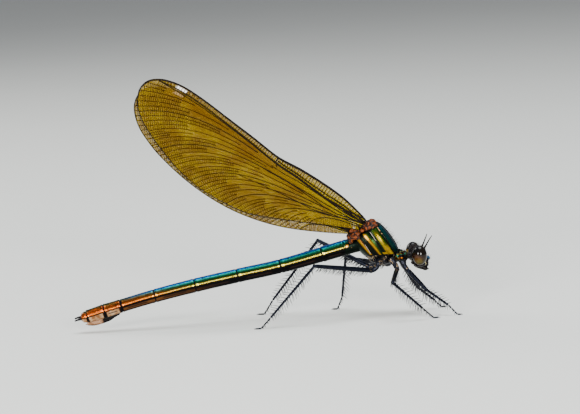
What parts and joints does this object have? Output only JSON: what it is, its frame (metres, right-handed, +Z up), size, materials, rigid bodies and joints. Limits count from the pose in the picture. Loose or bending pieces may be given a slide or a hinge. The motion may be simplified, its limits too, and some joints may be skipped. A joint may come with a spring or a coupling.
{
  "type": "damselfly",
  "caption": "Life-size still damselfly standing on the floor, slim segmented metallic body, amber wings closed over its back.",
  "frame": {"origin": "on the floor under the middle of the insect's box", "axes": "+X towards the head, +Y towards the insect's left side, +Z up"},
  "size_m": [0.0501, 0.0131, 0.0324],
  "materials": {
    "body_green": "metallic green and gold cuticle with dark sutures",
    "abdomen_green": "metallic blue-green cuticle, gold along the side, black below",
    "abdomen_copper": "metallic copper cuticle with pale side patches",
    "head_dark": "dark purplish cuticle, finely haired",
    "eye": "glossy faceted compound eye, dark above and olive-brown below",
    "horn": "black horn",
    "leg": "blue-black cuticle with rows of bristles",
    "wing_base": "rust-brown leathery cuticle",
    "wing_membrane": "amber-brown veined membrane with a soft sheen"
  },
  "bodies": {
    "root": {"head": "head_dark", "eye_left": "eye", "eye_right": "eye", "antenna_left": "horn", "antenna_right": "horn", "labrum": "head_dark", "labium": "head_dark", "neck": "head_dark", "prothorax": "body_green", "thorax": "body_green", "wing_base_fore": "wing_base", "wing_base_hind": "wing_base", "abdomen_1": "abdomen_green", "abdomen_2": "abdomen_green", "abdomen_3": "abdomen_green", "abdomen_4": "abdomen_green", "abdomen_5": "abdomen_green", "abdomen_6": "abdomen_green", "abdomen_7": "abdomen_copper", "abdomen_8": "abdomen_copper", "abdomen_9": "abdomen_copper", "abdomen_10": "abdomen_copper", "cercus_left": "horn", "cercus_right": "horn", "ovipositor": "abdomen_copper", "wing_fore_left": "wing_membrane", "wing_fore_right": "wing_membrane", "wing_hind_left": "wing_membrane", "wing_hind_right": "wing_membrane", "leg_front_left": "leg", "leg_front_right": "leg", "leg_mid_left": "leg", "leg_mid_right": "leg", "leg_hind_left": "leg", "leg_hind_right": "leg"}
  },
  "joints": []
}
